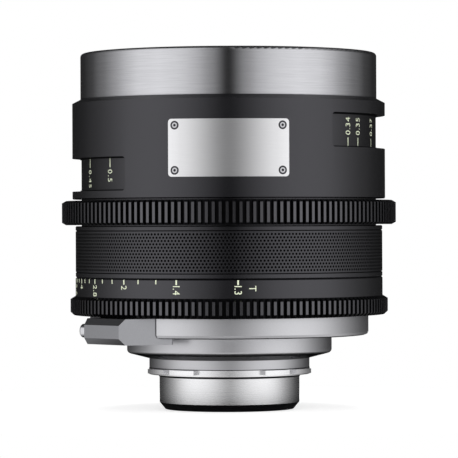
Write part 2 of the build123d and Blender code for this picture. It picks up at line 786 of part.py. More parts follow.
def focus_scale_ring():
    """The ring that carries the grip, the gear and the distance scale, with its stop lug."""
    land_radius = guide_outer_radius + running_gap + cam_barrel_wall + slip_gap
    wall_radius = focus_scale_radius - focus_scale_wall
    low_land_top = focus_grip_bottom_z + focus_land_height
    high_land_bottom = focus_scale_top_z - focus_land_height
    body = turned(
        (land_radius, focus_grip_bottom_z), (focus_scale_radius, focus_grip_bottom_z),
        (focus_scale_radius, focus_scale_top_z), (land_radius, focus_scale_top_z),
        (land_radius, high_land_bottom), (wall_radius, high_land_bottom),
        (wall_radius, low_land_top), (land_radius, low_land_top))
    lug = Pos(0, -stop_lug_radius, focus_scale_top_z) * Cylinder(
        stop_lug_pin_radius, stop_lug_height, align=(Align.CENTER, Align.CENTER, Align.MIN))
    body += from_front(lug, stop_lug_deg)
    for angle in focus_screw_places():
        body -= facing_out(cap_screw_hole(focus_screw), focus_screw_reach(), focus_screw_z(), angle)
    return body


def focus_stop_block():
    """The fixed block under the housing's top that the stop lug meets at both ends of the throw."""
    lug_deg = degrees(stop_lug_pin_radius / stop_lug_radius)
    free_deg = focus_near_turn_deg - focus_far_turn_deg + 2 * lug_deg
    margin_deg = degrees(running_gap / stop_lug_radius)
    half = (360 - free_deg) / 2 - margin_deg
    middle = stop_lug_deg + (focus_near_turn_deg + focus_far_turn_deg) / 2 + 180
    inner = stop_lug_radius - stop_block_wall / 2
    return sector(inner, inner + stop_block_wall, focus_scale_top_z + face_gap, guide_top_z, middle, half)


def focus_grip_sleeve():
    inner = focus_scale_radius + slip_gap
    low, high = focus_grip_bottom_z, focus_gear_bottom_z - grip_top_gap
    body = turned((inner, low), (focus_grip_radius - small_edge, low), (focus_grip_radius, low + small_edge),
                  (focus_grip_radius, high - small_edge), (focus_grip_radius - small_edge, high),
                  (inner, high))
    for start in (low + grip_low_lip, high - grip_high_lip - grip_groove):
        body -= tube(focus_grip_radius - grip_groove_depth, focus_grip_radius + cut_over,
                     start, start + grip_groove)
    return body


def focus_gear_ring():
    return gear_ring(focus_gear_teeth, focus_scale_radius + slip_gap, focus_gear_bottom_z,
                     focus_gear_top_z, focus_gear_chamfer, focus_gear_chamfer,
                     focus_gear_chamfer_height)


# Sliding focus group

def focus_cell():
    outer = guide_inner_radius - running_gap
    front_bore = focus_front_glass.radius + slip_gap
    rear_bore = focus_middle_glass.radius + slip_gap
    body = turned(
        (rear_bore, focus_cell_rear_z), (outer, focus_cell_rear_z), (outer, focus_cell_front_z),
        (front_bore, focus_cell_front_z), (front_bore, focus_front_seat_z),
        (focus_web_radius, focus_front_seat_z), (focus_web_radius, focus_rear_seat_z),
        (rear_bore, focus_rear_seat_z))
    for k in range(roller_count):
        body -= radial_pin(roller_radius + slip_gap, roller_root_radius() - slip_gap,
                           outer + cut_over, roller_z, roller_deg + 360 / roller_count * k)
    return body


def roller_root_radius():
    return (focus_front_glass.radius + guide_inner_radius) / 2


def focus_rollers():
    tip = guide_outer_radius + cam_barrel_wall - face_gap
    return [radial_pin(roller_radius, roller_root_radius(), tip, roller_z,
                       roller_deg + 360 / roller_count * k) for k in range(roller_count)]


# Front housing and name plate

def housing_screw_places():
    return [360 / housing_screw_count * (k + 0.5) for k in range(housing_screw_count)]


def plate_screw_places():
    middle = (plate_bottom_z + plate_top_z) / 2
    return [(middle + up * plate_screw_half_height, side * plate_screw_half_deg)
            for up in (-1, 1) for side in (-1, 1)]


def front_housing():
    body = turned(
        (housing_inner_radius, housing_bottom_z), (housing_radius - small_edge, housing_bottom_z),
        (housing_radius, housing_bottom_z + small_edge), (housing_radius, housing_shoulder_z),
        (housing_top_radius, housing_top_z), (guide_inner_radius, housing_top_z),
        (guide_inner_radius, guide_top_z), (housing_inner_radius, guide_top_z))
    for bottom, top, side in ((left_window_bottom_z, left_window_top_z, -1),
                              (right_window_bottom_z, right_window_top_z, 1)):
        window = sector(housing_inner_radius - cut_over, housing_radius + cut_over, bottom, top,
                        side * 90, window_half_deg)
        body -= round_radial_edges(window, window_corner_radius)
    body -= plate_blank(housing_radius - plate_recess, housing_radius + cut_over, slip_gap)
    for z, angle in plate_screw_places():
        head_radius = housing_radius - plate_recess + plate_thickness
        body -= facing_out(cap_screw_hole(plate_screw), head_radius, z, angle)
    for angle in housing_screw_places():
        body -= facing_up(cap_screw_hole(housing_screw), housing_screw_circle_radius, housing_top_z, angle)
    return body


def plate_blank(inner, outer, grow):
    """The name plate's curved blank with round corners, grown all round by a gap."""
    half = plate_half_deg + degrees(grow / housing_radius)
    blank = sector(inner, outer, plate_bottom_z - grow, plate_top_z + grow, 0, half)
    return round_radial_edges(blank, plate_corner_radius)


def name_plate():
    inner = housing_radius - plate_recess
    plate = plate_blank(inner, inner + plate_thickness, 0)
    for z, angle in plate_screw_places():
        plate -= facing_out(cap_screw_hole(plate_screw), inner + plate_thickness, z, angle)
    return plate


# Front bezel ring, front cell and rear cell

def front_bezel_ring():
    mouth_floor = bezel_top_z - bezel_mouth_depth
    body = turned(
        (front_flange_radius + slip_gap, housing_top_z), (bezel_groove_radius, housing_top_z),
        (bezel_groove_radius, housing_top_z + bezel_groove_width),
        (bezel_radius, housing_top_z + bezel_groove_width), (bezel_radius, bezel_top_z),
        (bezel_mouth_radius, bezel_top_z), (bezel_mouth_radius, mouth_floor),
        (bezel_throat_radius, mouth_floor), (bezel_throat_radius, front_flange_top_z),
        (front_flange_radius + slip_gap, front_flange_top_z))
    rims = [e for e in body.edges().filter_by(GeomType.CIRCLE)
            if abs(e.radius - bezel_radius) < slip_gap and abs(e.center().Z - bezel_top_z) < slip_gap]
    return fillet(rims, bezel_edge_radius)


def front_cell():
    outer = guide_inner_radius - slip_gap
    throat = bezel_throat_radius - slip_gap
    front_bore = front_glass.radius + slip_gap
    rear_bore = second_glass.radius + slip_gap
    return turned(
        (rear_bore, front_cell_rear_z), (outer, front_cell_rear_z), (outer, housing_top_z),
        (front_flange_radius, housing_top_z), (front_flange_radius, front_flange_top_z),
        (throat, front_flange_top_z), (throat, front_cell_top_z), (front_bore, front_cell_top_z),
        (front_bore, front_glass.low), (front_cell_web_radius, front_glass.low),
        (front_cell_web_radius, second_glass.high), (rear_bore, second_glass.high))


def rear_cell():
    """The cell of the rear group, from inside the mount barrel up to the iris."""
    outer = barrel_bore_radius - slip_gap
    front_bore = rear_front_glass.radius + slip_gap
    rear_bore = rear_middle_glass.radius + slip_gap
    flange_radius = adaptor_pocket_radius - slip_gap
    return turned(
        (rear_bore, rear_cell_rear_z), (outer, rear_cell_rear_z), (outer, adaptor_pocket_floor_z),
        (flange_radius, adaptor_pocket_floor_z), (flange_radius, step_top_z),
        (rear_cell_neck_radius, step_top_z), (rear_cell_neck_radius, rear_cell_top_z),
        (front_bore, rear_cell_top_z), (front_bore, rear_front_glass.low),
        (rear_cell_web_radius, rear_front_glass.low), (rear_cell_web_radius, rear_middle_glass.high),
        (rear_bore, rear_middle_glass.high))


def screws_facing_down(size, circle_radius, z, places):
    return [facing_down(cap_screw(size), circle_radius, z, angle) for angle in places]


parts = {
    "camera_mount": camera_mount(),
    "mount_screws": screws_facing_down(mount_screw, mount_screw_circle_radius, 0, mount_screw_places()),
    "mount_shim": mount_shim(),
    "mount_adaptor": mount_adaptor(),
    "adaptor_screws": screws_facing_down(
        adaptor_screw, adaptor_screw_circle_radius, adaptor_screw_z(), adaptor_screw_places()),
    "rear_baffle": rear_baffle(),
    "rear_body": rear_body(),
    "barrel_screws": screws_facing_down(
        barrel_screw, barrel_screw_circle_radius, step_top_z, barrel_screw_places()),
    "support_foot": support_foot(),
    "foot_screws": screws_facing_down(
        foot_screw, foot_screw_circle_radius, foot_bottom_z, foot_screw_places()),
    "support_bush": support_bush(),
    "guide_barrel": guide_barrel(),
    "iris_base_plate": iris_base_plate(),
    "iris_retaining_ring": iris_retaining_ring(),
    "iris_drive_ring": iris_drive_ring(),
    "iris_drive_key": iris_drive_key(),
    "iris_scale_ring": iris_scale_ring(),
    "iris_gear_ring": iris_gear_ring(),
    "focus_cam_barrel": focus_cam_barrel(),
    "focus_scale_ring": focus_scale_ring(),
    "focus_grip_sleeve": focus_grip_sleeve(),
    "focus_gear_ring": focus_gear_ring(),
    "focus_ring_screws": [facing_out(cap_screw(focus_screw), focus_screw_reach(), focus_screw_z(), angle)
                          for angle in focus_screw_places()],
    "focus_stop_block": focus_stop_block(),
    "focus_cell": focus_cell(),
    "focus_rollers": focus_rollers(),
    "focus_front_element": lens(focus_front_glass),
    "focus_front_retainer": retainer(focus_front_glass),
    "focus_middle_element": lens(focus_middle_glass),
    "focus_rear_element": lens(focus_rear_glass),
    "focus_rear_retainer": retainer(focus_rear_glass, behind=True),
    "front_housing": front_housing(),
    "housing_screws": [facing_up(cap_screw(housing_screw), housing_screw_circle_radius, housing_top_z, angle)
                       for angle in housing_screw_places()],
    "name_plate": name_plate(),
    "name_plate_screws": [facing_out(cap_screw(plate_screw),
                                     housing_radius - plate_recess + plate_thickness, z, angle)
                          for z, angle in plate_screw_places()],
    "front_bezel_ring": front_bezel_ring(),
    "front_cell": front_cell(),
    "front_element": lens(front_glass),
    "front_retaining_ring": retainer(front_glass),
    "second_element": lens(second_glass),
    "second_retaining_ring": retainer(second_glass, behind=True),
    "rear_cell": rear_cell(),
    "rear_front_element": lens(rear_front_glass),
    "rear_retaining_ring": retainer(rear_front_glass),
    "rear_middle_element": lens(rear_middle_glass),
    "rear_last_element": lens(rear_last_glass),
}
for blade in range(blade_count):
    parts[f"iris_blade_{blade + 1:02d}"] = iris_blade(blade)

os.makedirs("parts", exist_ok=True)
for node, shape in parts.items():
    solid = Compound(children=shape) if isinstance(shape, list) else shape
    export_step(solid, f"parts/{node}.step")
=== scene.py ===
from math import cos, hypot, pi, radians, sin

import bmesh
import bpy
from mathutils import Matrix, Vector


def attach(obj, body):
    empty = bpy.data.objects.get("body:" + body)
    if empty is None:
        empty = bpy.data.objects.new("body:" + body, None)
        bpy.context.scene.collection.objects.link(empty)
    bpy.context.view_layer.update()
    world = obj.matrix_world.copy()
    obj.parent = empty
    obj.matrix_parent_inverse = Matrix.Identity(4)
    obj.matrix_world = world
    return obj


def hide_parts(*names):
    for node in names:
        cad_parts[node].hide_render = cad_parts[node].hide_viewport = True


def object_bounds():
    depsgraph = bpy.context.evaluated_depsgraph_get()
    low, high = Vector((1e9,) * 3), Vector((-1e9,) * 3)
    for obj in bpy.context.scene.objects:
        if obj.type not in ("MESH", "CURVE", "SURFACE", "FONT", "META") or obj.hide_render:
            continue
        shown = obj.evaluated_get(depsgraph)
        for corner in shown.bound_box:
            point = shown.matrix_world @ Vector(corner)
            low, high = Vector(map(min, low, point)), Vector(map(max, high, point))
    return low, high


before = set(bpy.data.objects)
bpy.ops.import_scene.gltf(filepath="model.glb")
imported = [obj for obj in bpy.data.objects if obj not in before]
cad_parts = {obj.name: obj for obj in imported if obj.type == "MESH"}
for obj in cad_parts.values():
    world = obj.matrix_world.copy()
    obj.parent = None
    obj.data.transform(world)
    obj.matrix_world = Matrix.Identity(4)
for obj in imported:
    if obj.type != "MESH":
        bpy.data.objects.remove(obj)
cad_low, cad_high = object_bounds()

MM = 0.001


# Nodes, colours and meshes

def add_node(tree, kind, settings=None, links=None):
    """Add a node, fill its properties or sockets from settings, and link its sockets."""
    node = tree.nodes.new(kind)
    for key, value in (settings or {}).items():
        if hasattr(node, str(key)):
            setattr(node, key, value)
        else:
            node.inputs[key].default_value = value
    for key, source in (links or {}).items():
        tree.links.new(source, node.inputs[key])
    return node


def linear(colour):
    """An sRGB hex colour as linear red, green, blue and alpha."""
    parts = [int(colour[i:i + 2], 16) / 255 for i in (1, 3, 5)]
    return [c / 12.92 if c <= 0.04045 else ((c + 0.055) / 1.055) ** 2.4 for c in parts] + [1.0]


def start_material(name, **sockets):
    """A material with a Principled shader whose own sockets hold the plain numbers."""
    material = bpy.data.materials.new(name)
    material.use_nodes = True
    shader = material.node_tree.nodes["Principled BSDF"]
    for key, value in sockets.items():
        shader.inputs[key.replace("_", " ")].default_value = value
    return material, material.node_tree, shader


def finish_piece(bm, name, body, material, sharp_deg=30):
    """Close a bmesh as an object at the origin that rides on a body."""
    bmesh.ops.recalc_face_normals(bm, faces=bm.faces)
    for face in bm.faces:
        face.smooth = True
    for edge in bm.edges:
        edge.smooth = edge.calc_face_angle(0) < radians(sharp_deg)
    mesh = bpy.data.meshes.new(name)
    bm.to_mesh(mesh)
    bm.free()
    mesh.materials.append(material)
    piece = bpy.data.objects.new(name, mesh)
    bpy.context.scene.collection.objects.link(piece)
    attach(piece, body)
    return piece


def spin_profile(bm, corners, steps, closed=True):
    """Turn (radius, height) corners in millimetres about the optical axis."""
    verts = [bm.verts.new((r * MM, 0, z * MM)) for r, z in corners]
    edges = [bm.edges.new(pair) for pair in zip(verts, verts[1:] + verts[:1] if closed else verts[1:])]
    bmesh.ops.spin(bm, geom=verts + edges, cent=(0, 0, 0), axis=(0, 0, 1), angle=2 * pi,
                   steps=steps, use_merge=True)


def bend_on_cylinder(verts, radius, angle_deg):
    """Bend points that lie flat, x along the arc, y along the axis and z outwards, on to a cylinder."""
    for vert in verts:
        arc, height, out = vert.co
        angle = radians(angle_deg) + arc / (radius * MM)
        reach = radius * MM + out
        vert.co = (reach * sin(angle), -reach * cos(angle), height)


# Patterns. Each takes the distance between its marks in millimetres.

def turned_lines(tree, length, width, detail=3.0):
    """Noise drawn out round the optical axis, as a lathe tool or a brush leaves it."""
    place = add_node(tree, "ShaderNodeTexCoord")
    around, across = 1 / (length * MM), 1 / (width * MM)
    stretch = add_node(tree, "ShaderNodeMapping", {"Scale": (around, around, across)},
                       {"Vector": place.outputs["Object"]})
    return add_node(tree, "ShaderNodeTexNoise", {"Scale": 1.0, "Detail": detail, "Roughness": 0.6},
                    {"Vector": stretch.outputs["Vector"]})


def grain(tree, size, detail=2.0):
    """Even noise with grains of one size, as blasting or etching leaves it."""
    place = add_node(tree, "ShaderNodeTexCoord")
    return add_node(tree, "ShaderNodeTexNoise",
                    {"Scale": 1 / (size * MM), "Detail": detail, "Roughness": 0.55},
                    {"Vector": place.outputs["Object"]})


def axis_distance(tree):
    """How far each point lies from the optical axis."""
    place = add_node(tree, "ShaderNodeTexCoord")
    flat = add_node(tree, "ShaderNodeVectorMath", {"operation": "MULTIPLY", 1: (1, 1, 0)},
                    {0: place.outputs["Object"]})
    return add_node(tree, "ShaderNodeVectorMath", {"operation": "LENGTH"}, {0: flat.outputs["Vector"]})


def shade_by(tree, shader, pattern, dark, light, rough_low, rough_high, depth):
    """Let a pattern vary a finish's colour and roughness a little and raise its surface by depth mm."""
    colour = add_node(tree, "ShaderNodeMix", {"data_type": "RGBA"}, {"Factor": pattern.outputs["Fac"]})
    colour.inputs[6].default_value = linear(dark)
    colour.inputs[7].default_value = linear(light)
    tree.links.new(colour.outputs[2], shader.inputs["Base Color"])
    rough = add_node(tree, "ShaderNodeMapRange", {"To Min": rough_low, "To Max": rough_high},
                     {"Value": pattern.outputs["Fac"]})
    tree.links.new(rough.outputs["Result"], shader.inputs["Roughness"])
    bump = add_node(tree, "ShaderNodeBump", {"Strength": 1.0, "Distance": depth * MM},
                    {"Height": pattern.outputs["Fac"]})
    tree.links.new(bump.outputs["Normal"], shader.inputs["Normal"])


# Finishes

# Black dye leaves the sheen of anodised aluminium a little violet.
violet_sheen = (0.93, 0.92, 1.0, 1.0)
focus_tooth_tip_radius = 64.4
iris_tooth_tip_radius = 61.2
# The adaptor's neck, and the top of the slope that rises from it. The adaptor's painted shade lies between
# them.
neck_radius = 30.9
underside_top_z = 8.3


def satin_black_anodised_aluminium():
    # Turned, lightly blasted, then dyed black: a soft broad sheen that still shows the light panels.
    material, tree, shader = start_material("satin_black_anodised_aluminium", Metallic=0.0, IOR=1.74,
                                            Specular_Tint=violet_sheen)
    shade_by(tree, shader, grain(tree, 0.35), "#09090b", "#101012", 0.20, 0.27, 0.002)
    return material


def cut_black_anodised_aluminium(gear, tip_radius):
    # Teeth are cut with a rough cutter before dyeing.
    # Only their turned tips, tip_radius mm from the axis, catch the light.
    material, tree, shader = start_material(f"cut_black_anodised_aluminium_{gear}", Metallic=0.0, IOR=2.1,
                                            Specular_Tint=violet_sheen)
    shade_by(tree, shader, turned_lines(tree, 3.0, 0.25), "#060607", "#0c0c0e", 0.20, 0.28, 0.002)
    at_tip = add_node(tree, "ShaderNodeMapRange", {"From Min": (tip_radius - 0.3) * MM,
                                                   "From Max": (tip_radius - 0.08) * MM,
                                                   "To Min": 0.03, "To Max": 0.5},
                      {"Value": axis_distance(tree).outputs["Value"]})
    tree.links.new(at_tip.outputs["Result"], shader.inputs["Specular IOR Level"])
    return material


def painted_shade_black_anodised_aluminium():
    # Drilled dimples, parted grooves and the strips along the windows' edges are painted near black with
    # little sheen: painted shade in these hollows and edges.
    material, tree, shader = start_material("painted_shade_black_anodised_aluminium", Metallic=0.0, IOR=1.45)
    shader.inputs["Specular IOR Level"].default_value = 0.08
    shade_by(tree, shader, grain(tree, 0.2), "#020203", "#050506", 0.60, 0.75, 0.004)
    return material


def matt_blackened_aluminium():
    # Inner cells and tubes are blackened against stray light, almost without sheen.
    material, tree, shader = start_material("matt_blackened_aluminium", Metallic=0.0, IOR=1.45)
    shade_by(tree, shader, grain(tree, 0.3), "#08080a", "#0e0e10", 0.62, 0.74, 0.006)
    return material


def brushed_bright_aluminium():
    # The front ring is brushed round its axis with coarse grit: long streaks under clear lacquer.
    material, tree, shader = start_material("brushed_bright_aluminium", Metallic=1.0, Anisotropic=0.8,
                                            Anisotropic_Rotation=0.25)
    tangent = add_node(tree, "ShaderNodeTangent", {"direction_type": "RADIAL", "axis": "Z"})
    tree.links.new(tangent.outputs["Tangent"], shader.inputs["Tangent"])
    shade_by(tree, shader, turned_lines(tree, 14.0, 0.35, 5.0), "#bebec2", "#dadade", 0.14, 0.19, 0.0006)
    return material


def brushed_plate_aluminium():
    # The name plate is brushed along its width with fine grit, then clear anodised.
    material, tree, shader = start_material("brushed_plate_aluminium", Metallic=1.0)
    shade_by(tree, shader, turned_lines(tree, 6.0, 0.3, 4.0), "#f0f0f2", "#fafafc", 0.28, 0.34, 0.001)
    return material


def blasted_clear_aluminium():
    # Bead blasting leaves an even fine frost that spreads every reflection.
    material, tree, shader = start_material("blasted_clear_aluminium", Metallic=1.0)
    shade_by(tree, shader, grain(tree, 0.4), "#ccccd0", "#dadadd", 0.33, 0.40, 0.006)
    return material


def adaptor_painted_shade_aluminium():
    # The adaptor has the same frost. Its sloping underside is painted darker, as painted shade where the
    # slope faces down.
    material, tree, shader = start_material("adaptor_painted_shade_aluminium", Metallic=1.0)
    shade_by(tree, shader, grain(tree, 0.4), "#ccccd0", "#dadadd", 0.33, 0.40, 0.006)
    place = add_node(tree, "ShaderNodeTexCoord")
    split = add_node(tree, "ShaderNodeSeparateXYZ", None, {0: place.outputs["Object"]})
    off_neck = add_node(tree, "ShaderNodeMapRange",
                        {"From Min": (neck_radius + 0.1) * MM, "From Max": (neck_radius + 0.4) * MM},
                        {"Value": axis_distance(tree).outputs["Value"]})
    below = add_node(tree, "ShaderNodeMapRange",
                     {"From Min": (underside_top_z - 0.1) * MM, "From Max": (underside_top_z + 0.2) * MM,
                      "To Min": 1.0, "To Max": 0.0},
                     {"Value": split.outputs["Z"]})
    # Painted shade: the underside between the neck and the slope's top is mixed towards dark grey
    under = add_node(tree, "ShaderNodeMath", {"operation": "MULTIPLY"},
                     {0: off_neck.outputs["Result"], 1: below.outputs["Result"]})
    base = shader.inputs["Base Color"]
    colour = add_node(tree, "ShaderNodeMix", {"data_type": "RGBA"},
                      {0: under.outputs[0], 6: base.links[0].from_socket})
    colour.inputs[7].default_value = linear("#48484c")
    tree.links.new(colour.outputs[2], base)
    return material


def blasted_grey_aluminium():
    # The foot has the same frost and a greyer dye.
    material, tree, shader = start_material("blasted_grey_aluminium", Metallic=1.0)
    shade_by(tree, shader, grain(tree, 0.4), "#a2a2a6", "#b2b3b7", 0.26, 0.32, 0.006)
    return material


def satin_chromed_brass():
    # The mount is turned brass under satin chrome, with faint tool lines.
    material, tree, shader = start_material("satin_chromed_brass", Metallic=1.0)
    shade_by(tree, shader, turned_lines(tree, 20.0, 0.25, 3.0), "#f6f6f8", "#fcfcfe", 0.24, 0.30, 0.0006)
    return material


def polished_steel():
    # Bush and pins are ground steel.
    material, tree, shader = start_material("polished_steel", Metallic=1.0)
    shade_by(tree, shader, grain(tree, 0.5), "#c4c4c8", "#d8d8dc", 0.16, 0.24, 0.002)
    return material


def oxidised_steel():
    # Screws are blackened by hot oxide, which stays a little glossy.
    material, tree, shader = start_material("oxidised_steel", Metallic=1.0)
    shade_by(tree, shader, grain(tree, 0.3), "#38383c", "#4c4c50", 0.24, 0.36, 0.003)
    return material


def blued_blade_steel():
    # Iris blades are thin rolled steel, blued and burnished.
    material, tree, shader = start_material("blued_blade_steel", Metallic=1.0)
    shade_by(tree, shader, grain(tree, 0.8), "#24262c", "#33363e", 0.30, 0.40, 0.002)
    return material


def turned_brass():
    # Rings and keys that slide are left as turned brass.
    material, tree, shader = start_material("turned_brass", Metallic=1.0)
    shade_by(tree, shader, turned_lines(tree, 8.0, 0.2), "#b08d4c", "#c8a463", 0.26, 0.34, 0.003)
    return material


def coated_optical_glass():
    # Polished glass with a thin coating that tints what it still reflects.
    material, tree, shader = start_material(
        "coated_optical_glass", Roughness=0.0, IOR=1.62, Thin_Film_Thickness=420.0, Thin_Film_IOR=1.38)
    shader.inputs["Transmission Weight"].default_value = 1.0
    place = add_node(tree, "ShaderNodeTexCoord")
    tint = add_node(tree, "ShaderNodeTexNoise", {"Scale": 30.0}, {"Vector": place.outputs["Object"]})
    colour = add_node(tree, "ShaderNodeMix", {"data_type": "RGBA"}, {"Factor": tint.outputs["Fac"]})
    colour.inputs[6].default_value = linear("#f6faf8")
    colour.inputs[7].default_value = linear("#fcfdfc")
    tree.links.new(colour.outputs[2], shader.inputs["Base Color"])
    return material


def engraving_paint():
    # Pale yellow-green paint wiped into the engraved figures.
    material, tree, shader = start_material("engraving_paint", Metallic=0.0)
    shade_by(tree, shader, grain(tree, 0.25), "#dfe8c2", "#f4f9e2", 0.45, 0.55, 0.004)
    return material


def index_paint():
    material, tree, shader = start_material("index_paint", Metallic=0.0)
    shade_by(tree, shader, grain(tree, 0.25), "#d6d6d0", "#f0f0ea", 0.45, 0.55, 0.004)
    return material


satin_black = satin_black_anodised_aluminium()
focus_teeth_black = cut_black_anodised_aluminium("focus", focus_tooth_tip_radius)
iris_teeth_black = cut_black_anodised_aluminium("iris", iris_tooth_tip_radius)
painted_shade_black = painted_shade_black_anodised_aluminium()
matt_black = matt_blackened_aluminium()
bright_brushed = brushed_bright_aluminium()
plate_brushed = brushed_plate_aluminium()
blasted_clear = blasted_clear_aluminium()
adaptor_painted_shade = adaptor_painted_shade_aluminium()
blasted_grey = blasted_grey_aluminium()
chromed = satin_chromed_brass()
steel = polished_steel()
black_steel = oxidised_steel()
blade_steel = blued_blade_steel()
brass = turned_brass()
glass = coated_optical_glass()
figure_paint = engraving_paint()
line_paint = index_paint()

finish_of = {
    "camera_mount": chromed, "mount_screws": steel, "mount_shim": black_steel,
    "mount_adaptor": adaptor_painted_shade, "adaptor_screws": black_steel, "rear_baffle": satin_black,
    "rear_body": blasted_clear,
    "barrel_screws": black_steel, "support_foot": blasted_grey, "foot_screws": black_steel,
    "support_bush": steel, "iris_drive_key": steel, "iris_scale_ring": satin_black,
    "iris_gear_ring": iris_teeth_black, "focus_scale_ring": satin_black, "focus_gear_ring": focus_teeth_black,
    "focus_ring_screws": black_steel, "focus_rollers": steel, "front_housing": satin_black,
    "housing_screws": black_steel, "name_plate": plate_brushed, "name_plate_screws": black_steel,
    "front_bezel_ring": bright_brushed, "iris_drive_ring": brass,
}
for name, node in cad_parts.items():
    if name.endswith("_element"):
        finish = glass
    elif name.startswith("iris_blade"):
        finish = blade_steel
    else:
        finish = finish_of.get(name, matt_black)
    node.data.materials.clear()
    node.data.materials.append(finish)


# Places on the solids that the drawn pieces follow

focus_scale_radius = 56.8
iris_scale_radius = 59.2
iris_scale_top_z = 37.2
housing_radius = 60.3
rear_body_radius = 53.7
# Each window's middle in degrees round, and its lower and upper edge
left_window = (-90, 70.25, 83.0)
right_window = (90, 86.3, 99.2)
window_half_deg = 50.3


# Focus grip: twelve staggered rows of dimples between two plain lips

dimple_columns = 268
dimple_quarter = dimple_columns // 4
dimple_rows = 12
dimple_low_z = 40.47
dimple_pitch_z = 1.222
dimple_radius = 0.46
dimple_depth = 0.34
dimple_floor_share = 0.5
grip_radius = 59.15
grip_bore_radius = focus_scale_radius + 0.02
grip_bottom_z = 37.4
grip_top_z = 57.0
grip_edge = 0.3
low_groove_z = 39.1
high_groove_z = 55.0
groove_height = 0.4
groove_depth = 0.3
rim_weld = 0.02


def dimple_cell(bm, arc, z):
    """One flat cell of the grip's skin with a dimple in its middle."""
    half_arc = pi * grip_radius / dimple_columns * MM
    half_z = dimple_pitch_z / 2 * MM
    rim = [bm.verts.new((arc + x * half_arc, z + y * half_z, 0))
           for x, y in ((-1, -1), (0, -1), (1, -1), (1, 1), (0, 1), (-1, 1))]
    edges = [bm.edges.new(pair) for pair in zip(rim, rim[1:] + rim[:1])]
    made = bmesh.ops.create_circle(bm, cap_ends=True, radius=dimple_radius * MM, segments=8,
                                   matrix=Matrix.Translation((arc, z, 0)) @ Matrix.Rotation(pi / 8, 4, "Z"))
    bowl = made["verts"][0].link_faces[0]
    bmesh.ops.bridge_loops(bm, edges=edges + list(bowl.edges))
    bmesh.ops.inset_region(bm, faces=[bowl], thickness=dimple_radius * dimple_floor_share * MM,
                           depth=-dimple_depth * MM, use_even_offset=True)


def repeat_round(bm, copies, pitch_deg):
    """Copy all that the mesh holds round the optical axis."""
    bmesh.ops.spin(bm, geom=bm.verts[:] + bm.edges[:] + bm.faces[:], cent=(0, 0, 0), axis=(0, 0, 1),
                   angle=radians(pitch_deg) * (copies - 1), steps=copies - 1, use_duplicate=True)


def add_mesh(bm, other):
    """Move all of another bmesh into this one. Spinning in a small mesh first is quicker."""
    mesh = bpy.data.meshes.new("passing")
    other.to_mesh(mesh)
    other.free()
    bm.from_mesh(mesh)
    bpy.data.meshes.remove(mesh)


def weld_rims(bm):
    """Join the open rims that meet."""
    rims = [vert for vert in bm.verts if vert.is_boundary]
    bmesh.ops.remove_doubles(bm, verts=rims, dist=rim_weld * MM)


def dimpled_grip():
    bm = bmesh.new()
    shift = pi * grip_radius / dimple_columns * MM
    for row in range(dimple_rows):
        dimple_cell(bm, shift * (row % 2), (dimple_low_z + dimple_pitch_z * row) * MM)
    bmesh.ops.recalc_face_normals(bm, faces=bm.faces)
    bend_on_cylinder(bm.verts, grip_radius, 0)
    weld_rims(bm)
    repeat_round(bm, dimple_quarter, 360 / dimple_columns)
    weld_rims(bm)
    repeat_round(bm, 4, 90)
    field_low = dimple_low_z - dimple_pitch_z / 2
    field_high = dimple_low_z + dimple_pitch_z * (dimple_rows - 0.5)
    r, bore, floor, edge = grip_radius, grip_bore_radius, grip_radius - groove_depth, grip_edge

    def groove(start):
        return [(r, start), (floor, start), (floor, start + groove_height), (r, start + groove_height)]

    lips = bmesh.new()
    spin_profile(lips, [(r, field_high), *groove(high_groove_z), (r, grip_top_z - edge),
                        (r - edge, grip_top_z), (bore, grip_top_z), (bore, grip_bottom_z),
                        (r - edge, grip_bottom_z), (r, grip_bottom_z + edge), *groove(low_groove_z),
                        (r, field_low)],
                 2 * dimple_columns, closed=False)
    add_mesh(bm, lips)
    weld_rims(bm)
    grip = finish_piece(bm, "dimpled_grip", "focus", satin_black, 40)
    grip.data.materials.append(painted_shade_black)
    # Dimples and grooves lie under the skin, well outside the bore and between the two end faces. Their faces
    # take the painted shade material.
    under_skin, above_bore, off_end = 0.1, 0.5, 1.0
    for face in grip.data.polygons:
        x, y, z = face.center / MM
        in_depth = bore + above_bore < hypot(x, y) < r - under_skin
        if in_depth and grip_bottom_z + off_end < z < grip_top_z - off_end:
            face.material_index = 1
    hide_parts("focus_grip_sleeve")
    return grip


dimpled_grip()


# Engraved figures and lines

paint_stand = 0.02
figure_width_share = 0.9
font_capital_share = 0.7


def figures(bm, words, height, spacing_share, radius, angle_deg, start_z, reading_down):
    """Narrow figures that read along the axis, centred across their line, bent on to a ring."""
    text = bpy.data.curves.new("figures", "FONT")
    # The engraver's one is a plain upright, without the foot that the built-in font draws.
    text.body = words.replace("1", "I")
    text.size = height / font_capital_share * MM
    text.extrude = paint_stand / 2 * MM
    text.resolution_u = 3
    text.space_character = spacing_share
    holder = bpy.data.objects.new("figures", text)
    bpy.context.scene.collection.objects.link(holder)
    mesh = bpy.data.meshes.new_from_object(holder)
    bpy.data.objects.remove(holder)
    before = set(bm.verts)
    bm.from_mesh(mesh)
    verts = [v for v in bm.verts if v not in before]
    low_u = min(v.co.x for v in verts)
    middle = (min(v.co.y for v in verts) + max(v.co.y for v in verts)) / 2
    bmesh.ops.translate(bm, vec=(-low_u, -middle, paint_stand / 2 * MM), verts=verts)
    bmesh.ops.scale(bm, vec=(figure_width_share, 1, 1), verts=verts)
    turn = -pi / 2 if reading_down else pi / 2
    bmesh.ops.rotate(bm, cent=(0, 0, 0), matrix=Matrix.Rotation(turn, 3, "Z"), verts=verts)
    bmesh.ops.translate(bm, vec=(0, start_z * MM, 0), verts=verts)
    bend_on_cylinder(verts, radius, angle_deg)


